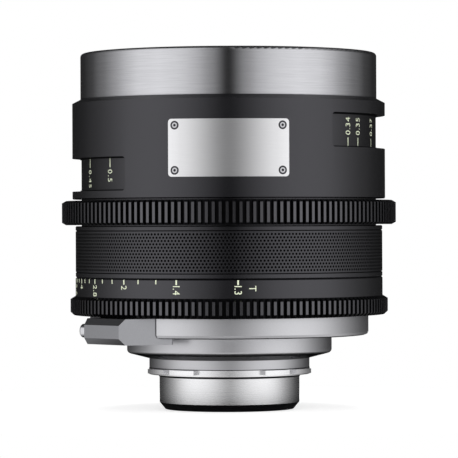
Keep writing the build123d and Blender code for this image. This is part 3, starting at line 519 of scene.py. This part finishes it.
def line(bm, radius, angle_deg, low_z, high_z, width):
    """A short painted line along the axis."""
    made = bmesh.ops.create_cube(bm, size=MM)
    verts = made["verts"]
    bmesh.ops.scale(bm, vec=(width, high_z - low_z, paint_stand), verts=verts)
    bmesh.ops.translate(bm, vec=(0, (low_z + high_z) / 2 * MM, paint_stand / 2 * MM), verts=verts)
    bend_on_cylinder(verts, radius, angle_deg)


# Degrees that the focus ring turns from infinity to each distance in metres
distance_turns = {0.34: 300, 0.35: 293, 0.37: 279.5, 0.4: 260, 0.45: 239.6, 0.5: 223.5, 0.55: 207, 0.6: 192,
                  0.7: 166, 0.8: 146, 1: 117, 1.2: 98, 1.5: 79, 2: 60, 3: 40, 5: 24, 10: 12}
focus_turn_at_rest = 262
focus_tick_inset = 0.4
focus_tick_width = 0.5
left_tick_length = 3.5
left_figure_gap = 0.85
left_figure_height = 2.65
left_spacing_share = 1.22
right_tick_length = 3.25
right_figure_gap = 0.98
right_figure_height = 2.9
right_spacing_share = 1.08


def focus_scale():
    """Distances in metres, printed twice so that each window shows its own."""
    bm = bmesh.new()
    left_side, _, left_edge = left_window
    right_side, right_edge, _ = right_window
    left_high = left_edge - focus_tick_inset
    left_low = left_high - left_tick_length
    right_low = right_edge + focus_tick_inset
    right_high = right_low + right_tick_length
    for metres, turn in distance_turns.items():
        words = f"{metres:g}"
        left = left_side + focus_turn_at_rest - turn
        line(bm, focus_scale_radius, left, left_low, left_high, focus_tick_width)
        figures(bm, words, left_figure_height, left_spacing_share, focus_scale_radius, left,
                left_low - left_figure_gap, True)
        right = right_side + focus_turn_at_rest - turn
        line(bm, focus_scale_radius, right, right_low, right_high, focus_tick_width)
        figures(bm, words, right_figure_height, right_spacing_share, focus_scale_radius, right,
                right_high + right_figure_gap, False)
    return finish_piece(bm, "focus_scale_figures", "focus", figure_paint)


# Each full stop and its place round the iris scale in degrees
iris_stops = [("1.3", 3.2), ("1.4", -19.2), ("2", -41.4), ("2.8", -58.5), ("4", -71.1), ("5.6", -80.8),
              ("8", -88.0), ("11", -93.5), ("16", -98.0), ("22", -101.8)]
third_place_shares = (0.36, 0.7)
letter_deg = 8.4
iris_tick_inset = 0.2
full_tick_length = 1.75
full_tick_width = 0.6
third_tick_length = 1.5
third_tick_width = 0.48
iris_figure_drop = 2.15
letter_drop = 2.1
iris_figure_height = 2.75
iris_spacing_share = 1.06


def iris_scale():
    """Aperture figures with a tick at each third between them."""
    bm = bmesh.new()
    top = iris_scale_top_z - iris_tick_inset
    for words, angle in iris_stops:
        line(bm, iris_scale_radius, angle, top - full_tick_length, top, full_tick_width)
        figures(bm, words, iris_figure_height, iris_spacing_share, iris_scale_radius, angle,
                top - iris_figure_drop, True)
    for (_, first), (_, second) in zip(iris_stops[1:5], iris_stops[2:6]):
        for share in third_place_shares:
            line(bm, iris_scale_radius, first + (second - first) * share, top - third_tick_length, top,
                 third_tick_width)
    figures(bm, "T", iris_figure_height, 1.0, iris_scale_radius, letter_deg, top - letter_drop, True)
    return finish_piece(bm, "iris_scale_figures", "iris", figure_paint)


window_index_width = 0.6
left_index_gap = 0.3
left_index_length = 4.0
right_index_gap = 0.2
right_index_length = 3.1
body_index_width = 0.7
body_index_low_z = 16.5
body_index_high_z = 21.0


def index_lines():
    """The fixed lines that the scales are read against, at both sides."""
    bm = bmesh.new()
    left_side, _, left_edge = left_window
    left_low = left_edge + left_index_gap
    line(bm, housing_radius, left_side, left_low, left_low + left_index_length, window_index_width)
    right_side, right_edge, _ = right_window
    right_high = right_edge - right_index_gap
    line(bm, housing_radius, right_side, right_high - right_index_length, right_high, window_index_width)
    for side in (left_side, right_side):
        line(bm, rear_body_radius, side, body_index_low_z, body_index_high_z, body_index_width)
    return finish_piece(bm, "index_lines", "fixed", line_paint)


focus_scale()
iris_scale()
index_lines()


# Small turned trim

relief_inner_radius = 26.9
relief_outer_radius = 27.3
relief_low_z = -1.0
relief_shoulder_z = -0.1
relief_top_z = 0.05
relief_edge = 0.05
# Painted shade: thin near-black strips behind the windows' upper and lower edges
shade_strip_radius = 57.0
shade_strip_thickness = 0.25
low_shade_strip_height = 0.45
high_shade_strip_height = 0.55
shade_strip_end_deg = 1.2
shade_strip_steps = 80
thread_pitch = 0.75
thread_crest_radius = 51.85
thread_root_radius = 52.21
thread_back = 0.05
thread_low_z = 117.6
thread_turns = 6
plate_screw_deg = 19.1
plate_screw_heights = (77.45, 94.05)
socket_face_radius = 1.0
socket_hexagon_radius = 0.55
socket_stand = 0.01
round_steps = 256


def barrel_relief():
    """The thin dark ring at the root of the mount barrel."""
    bm = bmesh.new()
    inner, outer = relief_inner_radius, relief_outer_radius
    spin_profile(bm, [(inner, relief_low_z), (outer - relief_edge, relief_low_z + relief_edge),
                      (outer, relief_shoulder_z), (outer, relief_top_z), (inner, relief_top_z)], round_steps)
    return finish_piece(bm, "barrel_relief", "fixed", matt_black)


def window_edge_shade_strips():
    """Thin near-black strips behind the windows' upper and lower edges: painted shade along those edges."""
    bm = bmesh.new()
    length = 2 * radians(window_half_deg - shade_strip_end_deg) * shade_strip_radius
    for side, low, high in (left_window, right_window):
        for bottom, top in ((low, low + low_shade_strip_height), (high - high_shade_strip_height, high)):
            made = bmesh.ops.create_grid(bm, x_segments=shade_strip_steps, y_segments=1, size=0.5)["verts"]
            bmesh.ops.scale(bm, vec=(length * MM, (top - bottom) * MM, 1), verts=made)
            bmesh.ops.translate(bm, vec=(0, (top + bottom) / 2 * MM, 0), verts=made)
            faces = list({face for vert in made for face in vert.link_faces})
            thick = bmesh.ops.extrude_face_region(bm, geom=faces)["geom"]
            added = [item for item in thick if isinstance(item, bmesh.types.BMVert)]
            bmesh.ops.translate(bm, vec=(0, 0, shade_strip_thickness * MM), verts=added)
            bend_on_cylinder(made + added, shade_strip_radius, side)
    return finish_piece(bm, "window_edge_shade_strips", "fixed", painted_shade_black)


def filter_thread():
    """The fine thread in the front ring's mouth, drawn as plain grooves."""
    bm = bmesh.new()
    root, top_z = thread_root_radius, thread_low_z + thread_pitch * thread_turns
    corners = [(root + thread_back, thread_low_z)]
    for turn in range(thread_turns):
        z = thread_low_z + thread_pitch * turn
        corners += [(root, z), (thread_crest_radius, z + thread_pitch / 2)]
    corners += [(root, top_z), (root + thread_back, top_z)]
    spin_profile(bm, corners, round_steps)
    return finish_piece(bm, "filter_thread", "fixed", satin_black)


def outermost(name):
    """How far a node's furthest point lies from the axis, in millimetres."""
    return max(hypot(v.co.x, v.co.y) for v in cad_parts[name].data.vertices) / MM


def plate_screw_sockets():
    """The bright faces inside the name plate's dark screw heads, each with its hexagon."""
    bm = bmesh.new()
    radius = outermost("name_plate_screws") + socket_stand
    for side in (-plate_screw_deg, plate_screw_deg):
        for z in plate_screw_heights:
            disc = bmesh.ops.create_circle(bm, cap_ends=True, radius=socket_face_radius * MM,
                                           segments=32)["verts"]
            face = disc[0].link_faces[0]
            hexagon = bmesh.ops.create_circle(bm, radius=socket_hexagon_radius * MM, segments=6)["verts"]
            inner = list({edge for vert in hexagon for edge in vert.link_edges})
            outer = list(face.edges)
            bmesh.ops.delete(bm, geom=[face], context="FACES_ONLY")
            bmesh.ops.bridge_loops(bm, edges=outer + inner)
            verts = disc + hexagon
            bmesh.ops.translate(bm, vec=(0, z * MM, 0), verts=verts)
            bend_on_cylinder(verts, radius, side)
    return finish_piece(bm, "plate_screw_sockets", "fixed", steel)


barrel_relief()
window_edge_shade_strips()
filter_thread()
plate_screw_sockets()


# Floor, lamps, world and camera

# Degrees from the camera's direction, and how bright the studio's panels and the table near by are there.
panel_stops = [(0, 0.02), (2.5, 0.04), (6, 0.14), (11, 0.30), (17, 0.42), (22, 0.57), (33, 0.79), (40, 0.88),
               (55, 0.98), (74, 0.89), (87, 0.64), (95, 0.46), (111, 0.22), (121, 0.15), (130, 0.07),
               (150, 0.025), (180, 0.02)]
table_stops = [(0, 0.80), (22, 0.90), (55, 0.98), (74, 0.80), (87, 0.50), (95, 0.34), (111, 0.16),
               (130, 0.05), (180, 0.02)]


def light_round(tree, vector, stops):
    """How bright the studio is in each direction round the object, the same to both sides."""
    split = add_node(tree, "ShaderNodeSeparateXYZ", None, {0: vector})
    back = add_node(tree, "ShaderNodeMath", {"operation": "MULTIPLY", 1: -1.0}, {0: split.outputs["Y"]})
    side = add_node(tree, "ShaderNodeMath", {"operation": "ABSOLUTE"}, {0: split.outputs["X"]})
    turn = add_node(tree, "ShaderNodeMath", {"operation": "ARCTAN2"},
                    {0: side.outputs[0], 1: back.outputs[0]})
    share = add_node(tree, "ShaderNodeMath", {"operation": "DIVIDE", 1: pi}, {0: turn.outputs[0]})
    panels = add_node(tree, "ShaderNodeValToRGB", None, {"Fac": share.outputs[0]})
    ramp = panels.color_ramp
    while len(ramp.elements) < len(stops):
        ramp.elements.new(0.5)
    for element, (degrees_off, level) in zip(ramp.elements, stops):
        element.position = degrees_off / 180
        element.color = (level, level, level, 1)
    return panels.outputs["Color"]


def pale_floor():
    """White paper with the object's contact shadow. Metal sees it dark close by and lit further off."""
    bm = bmesh.new()
    bmesh.ops.create_circle(bm, cap_ends=True, radius=6.0, segments=64)
    bmesh.ops.translate(bm, vec=(0, 0, cad_low.z - 0.0001), verts=bm.verts)
    mesh = bpy.data.meshes.new("floor")
    bm.to_mesh(mesh)
    bm.free()
    material = bpy.data.materials.new("pale_studio_floor")
    material.use_nodes = True
    tree = material.node_tree
    tree.nodes.clear()
    place = add_node(tree, "ShaderNodeTexCoord")
    spread = add_node(tree, "ShaderNodeVectorMath", {"operation": "LENGTH"}, {0: place.outputs["Object"]})
    far = add_node(tree, "ShaderNodeMapRange", {"From Min": 0.07, "From Max": 0.16},
                   {"Value": spread.outputs["Value"]})
    paper = add_node(tree, "ShaderNodeBsdfDiffuse", {"Color": linear("#e4e4e4")})
    lift = add_node(tree, "ShaderNodeEmission", {"Color": (1, 1, 1, 1), "Strength": 0.62})
    near = add_node(tree, "ShaderNodeAddShader", None, {0: paper.outputs[0], 1: lift.outputs[0]})
    white = add_node(tree, "ShaderNodeEmission", {"Color": (1, 1, 1, 1), "Strength": 1.0})
    shown = add_node(tree, "ShaderNodeMixShader", None,
                     {0: far.outputs["Result"], 1: near.outputs[0], 2: white.outputs[0]})
    lit = add_node(tree, "ShaderNodeMapRange",
                   {"From Min": 0.066, "From Max": 0.095, "To Min": 0.02, "To Max": 1.12},
                   {"Value": spread.outputs["Value"]})
    away = add_node(tree, "ShaderNodeMapRange", {"From Min": 0.13, "From Max": 0.30},
                    {"Value": spread.outputs["Value"]})
    round_it = add_node(tree, "ShaderNodeMix", {"data_type": "RGBA"},
                        {0: away.outputs["Result"],
                         6: light_round(tree, place.outputs["Object"], table_stops),
                         7: light_round(tree, place.outputs["Object"], panel_stops)})
    mirrored = add_node(tree, "ShaderNodeEmission", None,
                        {"Color": round_it.outputs[2], "Strength": lit.outputs["Result"]})
    path = add_node(tree, "ShaderNodeLightPath")
    first = add_node(tree, "ShaderNodeMixShader", None,
                     {0: path.outputs["Is Glossy Ray"], 1: paper.outputs[0], 2: mirrored.outputs[0]})
    second = add_node(tree, "ShaderNodeMixShader", None,
                      {0: path.outputs["Is Camera Ray"], 1: first.outputs[0], 2: shown.outputs[0]})
    add_node(tree, "ShaderNodeOutputMaterial", None, {"Surface": second.outputs[0]})
    mesh.materials.append(material)
    floor = bpy.data.objects.new("floor", mesh)
    bpy.context.scene.collection.objects.link(floor)


def soft_lamp(name, place, size, power):
    lamp = bpy.data.lights.new(name, "AREA")
    lamp.size = size
    lamp.energy = power
    holder = bpy.data.objects.new(name, lamp)
    bpy.context.scene.collection.objects.link(holder)
    holder.location = place
    aim = Vector((0, 0, 0.055)) - Vector(place)
    holder.rotation_mode = "QUATERNION"
    holder.rotation_quaternion = aim.to_track_quat("-Z", "Y")
    # Polished metal reflects the studio walls below and not the lamps' outlines.
    holder.visible_glossy = False


def studio_world():
    """White walls for the camera. Metal sees light panels at both sides and a dark gap between them."""
    world = bpy.data.worlds.new("studio")
    bpy.context.scene.world = world
    world.use_nodes = True
    tree = world.node_tree
    tree.nodes.clear()
    place = add_node(tree, "ShaderNodeTexCoord")
    split = add_node(tree, "ShaderNodeSeparateXYZ", None, {0: place.outputs["Generated"]})
    height = add_node(tree, "ShaderNodeMath", {"operation": "ABSOLUTE"}, {0: split.outputs["Z"]})
    steep = add_node(tree, "ShaderNodeMapRange", {"From Min": 0.6, "From Max": 0.85},
                     {"Value": height.outputs[0]})
    seen = add_node(tree, "ShaderNodeMix", {"data_type": "RGBA", 7: (0.04, 0.04, 0.04, 1)},
                    {0: steep.outputs["Result"],
                     6: light_round(tree, place.outputs["Generated"], panel_stops)})
    glossy = add_node(tree, "ShaderNodeBackground", {"Strength": 1.12}, {"Color": seen.outputs[2]})
    even = add_node(tree, "ShaderNodeBackground", {"Color": (1, 1, 1, 1), "Strength": 0.5})
    white = add_node(tree, "ShaderNodeBackground", {"Color": (1, 1, 1, 1), "Strength": 1.0})
    path = add_node(tree, "ShaderNodeLightPath")
    first = add_node(tree, "ShaderNodeMixShader", None,
                     {0: path.outputs["Is Glossy Ray"], 1: even.outputs[0], 2: glossy.outputs[0]})
    through = add_node(tree, "ShaderNodeMath", {"operation": "MAXIMUM"},
                       {0: path.outputs["Is Camera Ray"], 1: path.outputs["Is Transmission Ray"]})
    second = add_node(tree, "ShaderNodeMixShader", None,
                      {0: through.outputs[0], 1: first.outputs[0], 2: white.outputs[0]})
    add_node(tree, "ShaderNodeOutputWorld", None, {"Surface": second.outputs[0]})


def photo_camera():
    """A long lens 1.18 m away and level with the focus gear, as worked out from the photograph."""
    camera = bpy.data.cameras.new("camera")
    camera.sensor_width = 36
    camera.lens = 240.1
    camera.shift_x = 0.0002
    camera.shift_y = -0.0118
    camera.clip_start, camera.clip_end = 0.05, 50
    holder = bpy.data.objects.new("camera", camera)
    bpy.context.scene.collection.objects.link(holder)
    holder.location = (0, -1.18, 0.0578)
    holder.rotation_euler = (pi / 2, 0.0038, 0)
    bpy.context.scene.camera = holder


pale_floor()
soft_lamp("left_lamp", (-0.9, -0.9, 0.6), 0.8, 7.0)
soft_lamp("right_lamp", (0.9, -0.9, 0.6), 0.8, 7.0)
soft_lamp("top_lamp", (0.0, 0.3, 1.4), 1.0, 8.0)
studio_world()
photo_camera()
bpy.context.scene.view_settings.view_transform = "Standard"
